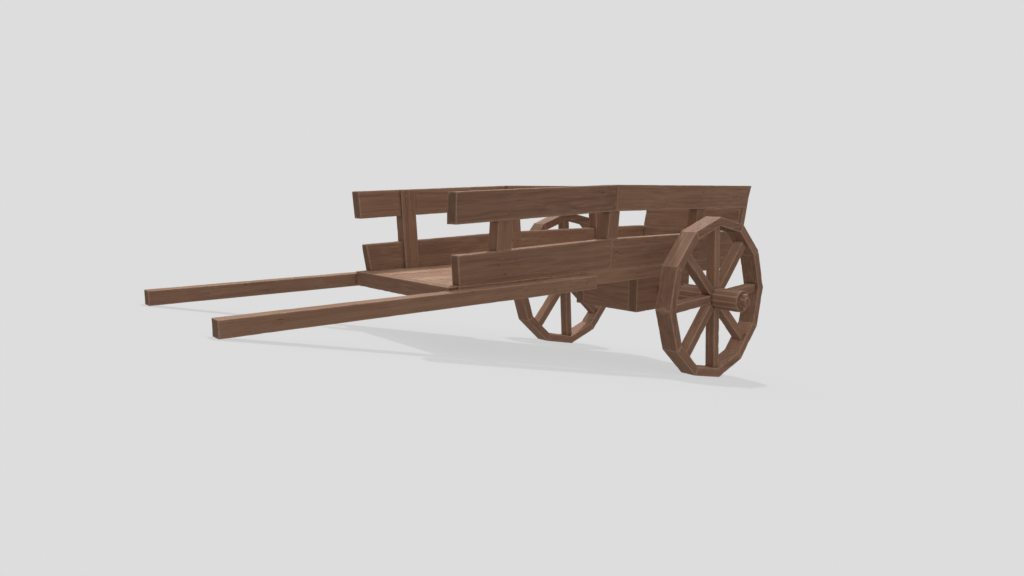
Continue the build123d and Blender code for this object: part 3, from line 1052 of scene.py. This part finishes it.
def block_pegs(sizes):
    """Pegs through the block's cheeks into its end boards."""
    cheeks = piece_tree(["axle_cheeks"])
    cheek = solid_boxes("axle_cheeks")[0]
    pegs = []
    for board in solid_boxes("axle_end_boards"):
        x = middle_of(board, 0)
        for side in SIDES.values():
            for share in (0.15, 0.5, 0.85):
                z = share_of(*cheek, 2, share)
                pegs += struck(cheeks, (x, side, z), (0, -side, 0), sizes.board_peg)
    return pegs


def rim_pegs(side, sizes):
    """A peg through the felloe and each spoke's tenon, on both faces of the rim."""
    rim = piece_tree([f"{side}_wheel_elbow_felloes", f"{side}_wheel_straight_felloes"])
    hub = Vector((HUB.x, HUB.y * SIDES[side], HUB.z))
    pegs = []
    for solid in merged_solids(f"{side}_wheel_spokes"):
        middle, along, _, _ = timber_axes(solid)
        if along.dot(middle - hub) < 0:
            along = -along
        reach = max((vert.co - hub).dot(along) for vert in solid.verts)
        place = TO_LEVEL @ (hub + along * (reach - sizes.rim_peg_inset))
        for turned in (1, -1):
            pegs += struck(rim, place + LEFT * turned, (0, -turned, 0), sizes.rim_peg)
        solid.free()
    return pegs


def build_peg_tree():
    """A tree that stands a round peg with a worn head on each point of a mesh."""
    tree = bpy.data.node_groups.new("pegs", "GeometryNodeTree")
    for name, kind in (
        ("Geometry", "NodeSocketGeometry"),
        ("Proud", "NodeSocketFloat"),
        ("Seed", "NodeSocketInt"),
        ("Up", "NodeSocketVector"),
        ("Material", "NodeSocketMaterial"),
    ):
        tree.interface.new_socket(name, in_out="INPUT", socket_type=kind)
    tree.interface.new_socket("Geometry", in_out="OUTPUT", socket_type="NodeSocketGeometry")
    given = tree.nodes.new("NodeGroupInput").outputs

    def saved(geometry, name, kind, value):
        inputs = {"Geometry": geometry, "Name": name, "Value": value}
        return result(
            tree, "GeometryNodeStoreNamedAttribute", inputs, data_type=kind, domain="POINT"
        )

    def read(name, kind):
        made = new_node(tree, "GeometryNodeInputNamedAttribute", {"Name": name}, data_type=kind)
        return shown(made.outputs, "Attribute")

    def uneven(low, high, shift):
        inputs = {"Min": low, "Max": high, "Seed": plus(tree, given["Seed"], shift)}
        made = new_node(tree, "FunctionNodeRandomValue", inputs, data_type="FLOAT")
        return shown(made.outputs, "Value")

    foot, shoulder, top = ROD
    rod = result(
        tree, "GeometryNodeMeshCylinder",
        {
            "Vertices": 12, "Side Segments": 3, "Fill Segments": 1, "Radius": 1.0,
            "Depth": top - foot,
        },
        "Mesh", fill_type="TRIANGLE_FAN",
    )
    place = result(tree, "GeometryNodeInputPosition")
    x, y, z = split(tree, place)
    neck = less(tree, given["Proud"], PEG_ROUNDING)
    body = ranged(tree, z, foot, shoulder, -PEG_DEPTH, neck)
    cap = ranged(tree, z, shoulder, top, 0.0, PEG_ROUNDING)
    narrowed = ranged(tree, z, shoulder, top, 1.0, PEG_NARROW)
    off_middle = vectors(tree, "LENGTH", stretched(tree, place, (1.0, 1.0, 0.0)), output="Value")
    crown = less(tree, 1.0, off_middle, clamp=True)
    crown = times(tree, crown, times(tree, cap, PEG_CROWN))
    height = plus(tree, plus(tree, body, cap), crown)
    shaped = joined(tree, times(tree, x, narrowed), times(tree, y, narrowed), height)
    peg = result(tree, "GeometryNodeSetPosition", {"Geometry": rod, "Position": shaped})
    peg = saved(peg, "local", "FLOAT_VECTOR", place)
    peg = saved(peg, "end", "FLOAT", maths(tree, "GREATER_THAN", z, ROD_END))

    points = saved(given["Geometry"], "tone", "FLOAT", uneven(-1.0, 1.0, 1))
    upright = result(
        tree, "FunctionNodeAlignRotationToVector", {"Vector": read("outward", "FLOAT_VECTOR")},
        axis="Z",
    )
    turn = result(
        tree, "FunctionNodeAxisAngleToRotation", {"Axis": (0, 0, 1), "Angle": uneven(0.0, 6.28, 2)}
    )
    turned = result(
        tree, "FunctionNodeRotateRotation", {"Rotation": upright, "Rotate By": turn},
        rotation_space="LOCAL",
    )
    radius = read("radius", "FLOAT")
    scale = joined(tree, radius, radius, times(tree, radius, uneven(*PEG_LENGTHS, 3)))
    pegs = result(
        tree, "GeometryNodeInstanceOnPoints",
        {"Points": points, "Instance": peg, "Rotation": turned, "Scale": scale},
    )
    real = result(tree, "GeometryNodeRealizeInstances", {"Geometry": pegs})

    x, y, z = split(tree, read("local", "FLOAT_VECTOR"))
    sized = stretched(tree, joined(tree, z, x, y), radius)
    grain = vectors(tree, "ADD", sized, read("offset", "FLOAT_VECTOR"))
    real = saved(real, "grain", "FLOAT_VECTOR", grain)
    normal = result(tree, "GeometryNodeInputNormal")
    sky = vectors(tree, "DOT_PRODUCT", normal, given["Up"], "Value")
    real = saved(real, "sky", "FLOAT", sky)
    painted = result(
        tree, "GeometryNodeSetMaterial", {"Geometry": real, "Material": given["Material"]}
    )
    new_node(tree, "NodeGroupOutput", {"Geometry": painted})
    return tree


def peg_piece(body, slot, pegs):
    """One piece with all the pegs of a body, from (place, outward, radius) triples."""
    sizes = settings().pegs
    tree = bpy.data.node_groups.get("pegs") or build_peg_tree()
    mesh = bpy.data.meshes.new(f"{body}_peg_places")
    mesh.from_pydata([tuple(place) for place, _, _ in pegs], [], [])
    spread = random.Random(sizes.seed)
    offsets = [[spread.uniform(0, GRAIN_LENGTH), spread.uniform(0, 1), PEG_PITH] for _ in pegs]
    store(mesh, "outward", np.array([tuple(outward) for _, outward, _ in pegs]))
    store(mesh, "radius", np.array([radius for _, _, radius in pegs]))
    store(mesh, "offset", np.array(offsets))
    holder = placed(f"{body}_peg_places", mesh)
    modifier = holder.modifiers.new("pegs", "NODES")
    modifier.node_group = tree
    values = {"Proud": sizes.proud, "Seed": sizes.seed, "Up": tuple(UP), "Material": wood(slot)}
    for item in tree.interface.items_tree:
        if item.in_out == "INPUT" and item.name in values:
            modifier[item.identifier] = values[item.name]
    evaluated = holder.evaluated_get(bpy.context.evaluated_depsgraph_get())
    made = bpy.data.meshes.new_from_object(evaluated)
    bpy.data.objects.remove(holder)
    made.name = f"{body}_pegs"
    smooth_by_area(made)
    piece = placed(f"{body}_pegs", made)
    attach(piece, body)


# Painted shade and grime where timbers shelter each other


def occluded(tree, place, normal, directions, reach):
    """How closely other timber shelters a point, from 0 in the open to 1."""
    side = normal.orthogonal().normalized()
    across = normal.cross(side)
    start = place + normal * RAY_LIFT
    total = 0.0
    for first, second in directions:
        travel = (normal * RAY_RISE + side * first + across * second).normalized()
        distance = tree.ray_cast(start, travel, reach)[3]
        if distance is not None:
            total += 1 - distance / reach
    return total / len(directions)


def store_occlusion(body, sizes):
    """Stores on each point of a body's timbers how closely other timber shelters it, which sets the
    painted shade and grime there.
    """
    nodes = sorted(node for node, carrier in BODIES.items() if carrier == body)
    tree = piece_tree(nodes)
    turns = [math.tau * index / sizes.rays for index in range(sizes.rays)]
    directions = [(math.cos(turn), math.sin(turn)) for turn in turns]
    for node in nodes:
        mesh = bpy.data.objects[f"{node}_timber"].data
        occlusion = [
            occluded(tree, vert.co, vert.normal, directions, sizes.reach) for vert in mesh.vertices
        ]
        mesh.attributes["occlusion"].data.foreach_set("value", occlusion)


# Operators


class CART_OT_shafts(bpy.types.Operator):
    """Make the two shafts"""

    bl_idname = "cart.shafts"
    bl_label = "Shafts"

    def execute(self, context):
        for node in both("shaft"):
            dress(node, checks=3)
        return {"FINISHED"}


class CART_OT_bed(bpy.types.Operator):
    """Make the bed's sills, crossbeams and planks"""

    bl_idname = "cart.bed"
    bl_label = "Bed"

    def execute(self, context):
        dress("bed_sills", checks=2)
        dress("bed_crossbeams", checks=0)
        dress("front_crossbeam", checks=2)
        dress("bed_planks", checks=2)
        return {"FINISHED"}


class CART_OT_walls(bpy.types.Operator):
    """Make the side walls' boards, rails and posts"""

    bl_idname = "cart.walls"
    bl_label = "Side walls"

    def execute(self, context):
        for name in WALL_BOARDS:
            for node in both(name):
                dress(node, checks=3)
        for node in both("stakes") + both("main_post"):
            dress(node, checks=1)
        return {"FINISHED"}


class CART_OT_tail(bpy.types.Operator):
    """Make the tail's boards, posts and battens"""

    bl_idname = "cart.tail"
    bl_label = "Tail"

    def execute(self, context):
        dress("tail_boards", checks=2)
        dress("tail_battens", checks=1)
        for node in both("tail_post"):
            dress(node, checks=1)
        return {"FINISHED"}


class CART_OT_axle(bpy.types.Operator):
    """Make the axle, its block and the linchpins"""

    bl_idname = "cart.axle"
    bl_label = "Axle"

    def execute(self, context):
        dress("axle_beam", checks=0, small=True)
        dress("axle_cheeks", checks=2)
        dress("axle_end_boards", checks=1)
        dress("linchpins", checks=0, small=True)
        return {"FINISHED"}


class CART_OT_wheels(bpy.types.Operator):
    """Make the wheels' naves, spokes and felloes"""

    bl_idname = "cart.wheels"
    bl_label = "Wheels"

    def execute(self, context):
        for side in SIDES:
            dress(f"{side}_wheel_nave", checks=2, small=True)
            dress(f"{side}_wheel_spokes", checks=0, small=True)
            dress(f"{side}_wheel_elbow_felloes", checks=1)
            dress(f"{side}_wheel_straight_felloes", checks=1)
        return {"FINISHED"}


class CART_OT_pegs(bpy.types.Operator):
    """Make the pegs of the cart and of its wheels"""

    bl_idname = "cart.pegs"
    bl_label = "Pegs"

    def execute(self, context):
        sizes = settings().pegs
        fixed = bed_pegs(sizes) + tail_pegs(sizes) + block_pegs(sizes)
        for side in SIDES:
            fixed += wall_pegs(side, sizes) + shaft_pegs(side, sizes)
            peg_piece(f"{side}_wheel", "wheel_wood", rim_pegs(side, sizes))
        peg_piece("cart", "frame_wood", fixed)
        return {"FINISHED"}


class CART_OT_shade_and_grime(bpy.types.Operator):
    """Work out where timbers shelter each other, for the painted shade and grime"""

    bl_idname = "cart.grime"
    bl_label = "Grime"

    def execute(self, context):
        for body in sorted(set(BODIES.values())):
            store_occlusion(body, settings().grime)
        return {"FINISHED"}


def camera_apart(tree, others, seen):
    """A shader that is one to the camera and another to the light."""
    is_camera = result(tree, "ShaderNodeLightPath", output="Is Camera Ray")
    return result(tree, "ShaderNodeMixShader", {0: is_camera, 1: others, 2: seen})


def stage_world(stage):
    """Plain soft light from all round, brighter above, behind a plain backdrop."""
    world = bpy.data.worlds.new("studio")
    bpy.context.scene.world = world
    tree = cleared(world)
    direction = result(tree, "ShaderNodeTexCoord", output="Generated")
    height = split(tree, direction)["Z"]
    level = ranged(tree, height, 0.0, 1.0, stage.horizon_light, stage.dome_light)
    lit, seen = (
        result(tree, "ShaderNodeBackground", {"Color": colour, "Strength": strength})
        for colour, strength in ((WHITE, level), ((*stage.backdrop, 1), 1.0))
    )
    new_node(tree, "ShaderNodeOutputWorld", {"Surface": camera_apart(tree, lit, seen)})


def stage_floor(stage):
    """A wide plain floor that keeps the cart's shadow."""
    solid = bmesh.new()
    bmesh.ops.create_circle(solid, cap_ends=True, segments=96, radius=FLOOR_RADIUS)
    mesh = bpy.data.meshes.new("floor")
    solid.to_mesh(mesh)
    solid.free()
    floor = placed("floor", mesh)
    material = bpy.data.materials.new("plain_floor")
    tree = cleared(material)
    # A sky that brightens evenly with height gives flat ground two thirds of what is added
    open_light = stage.horizon_light + (stage.dome_light - stage.horizon_light) * 2 / 3
    for level, travel in ((stage.key_light, KEY_TRAVEL), (stage.overhead_light, OVERHEAD_TRAVEL)):
        open_light -= level * in_world(travel).z
    lit_colour = [channel / open_light for channel in stage.backdrop] + [1.0]
    lit = result(tree, "ShaderNodeBsdfDiffuse", {"Color": lit_colour})
    even, sent = (
        result(tree, "ShaderNodeEmission", {"Color": colour, "Strength": strength})
        for colour, strength in (((*stage.backdrop, 1), 1.0), (WHITE, stage.floor_light))
    )
    seen = result(tree, "ShaderNodeMixShader", {0: stage.shadow_share, 1: even, 2: lit})
    new_node(tree, "ShaderNodeOutputMaterial", {"Surface": camera_apart(tree, sent, seen)})
    mesh.materials.append(material)


def stage_lamp(name, level, travel, spread=0.0, shadow=False):
    """A far lamp that adds a level of light on a face turned to it."""
    lamp = bpy.data.lights.new(name, "SUN")
    lamp.energy = level * math.pi
    lamp.angle = spread
    lamp.use_shadow = shadow
    holder = placed(name, lamp)
    holder.rotation_mode = "QUATERNION"
    holder.rotation_quaternion = in_world(travel).to_track_quat("-Z", "Y")


def stage_camera(stage):
    """The photograph's camera, level with the cart's own bed as it is there."""
    turn, tilt = stage.camera_heading, stage.camera_tilt
    flat = math.cos(tilt)
    look = Vector((flat * math.cos(turn), flat * math.sin(turn), math.sin(tilt)))
    right = look.cross(Vector((0, 0, 1))).normalized()
    axes = Matrix((right, right.cross(look), -look)).transposed().to_4x4()
    axes.translation = Vector(stage.camera_place)
    data = bpy.data.cameras.new("camera")
    data.sensor_width = SENSOR_WIDTH
    data.lens = stage.focal_pixels / IMAGE_WIDTH * SENSOR_WIDTH
    camera = placed("camera", data)
    camera.matrix_world = LEVEL @ axes
    bpy.context.scene.camera = camera


class CART_OT_stage(bpy.types.Operator):
    """Set up the floor, the light and the camera"""

    bl_idname = "cart.stage"
    bl_label = "Stage"

    def execute(self, context):
        stage = settings().stage
        stage_world(stage)
        stage_floor(stage)
        stage_lamp("key", stage.key_light, KEY_TRAVEL, stage.key_spread, shadow=True)
        stage_lamp("overhead", stage.overhead_light, OVERHEAD_TRAVEL)
        stage_lamp("fill", stage.fill_light, FILL_TRAVEL)
        stage_camera(stage)
        context.scene.view_settings.view_transform = "Standard"
        return {"FINISHED"}


class CartSettings(bpy.types.PropertyGroup):
    """All the cart's settings."""

    timber: PointerProperty(type=CartTimberSettings)
    pegs: PointerProperty(type=CartPegSettings)
    grime: PointerProperty(type=CartShadeAndGrimeSettings)
    finish: PointerProperty(type=CartFinishSettings)
    stage: PointerProperty(type=CartStageSettings)


STEPS = (
    CART_OT_shafts, CART_OT_bed, CART_OT_walls, CART_OT_tail, CART_OT_axle, CART_OT_wheels,
    CART_OT_pegs, CART_OT_shade_and_grime, CART_OT_stage,
)


class CART_PT_panel(bpy.types.Panel):
    """Lists the cart's steps and settings"""

    bl_idname = "CART_PT_panel"
    bl_label = "Timber Cart"
    bl_space_type = "VIEW_3D"
    bl_region_type = "UI"
    bl_category = "Cart"

    def draw(self, context):
        layout = self.layout
        for step in STEPS:
            layout.operator(step.bl_idname)
        for name in ("timber", "pegs", "grime", "finish", "stage"):
            group = getattr(context.scene.timber_cart, name)
            box = layout.box()
            for field in type(group).__annotations__:
                box.prop(group, field)


CLASSES = (
    CartTimberSettings, CartPegSettings, CartShadeAndGrimeSettings, CartFinishSettings, CartStageSettings,
    CartSettings, *STEPS, CART_PT_panel,
)


def register():
    for each in CLASSES:
        bpy.utils.register_class(each)
    bpy.types.Scene.timber_cart = PointerProperty(type=CartSettings)


def unregister():
    del bpy.types.Scene.timber_cart
    for each in reversed(CLASSES):
        bpy.utils.unregister_class(each)


def main():
    """Makes the whole cart and its stage."""
    register()
    for step in STEPS:
        family, name = step.bl_idname.split(".")
        getattr(getattr(bpy.ops, family), name)()


if __name__ == "__main__":
    main()
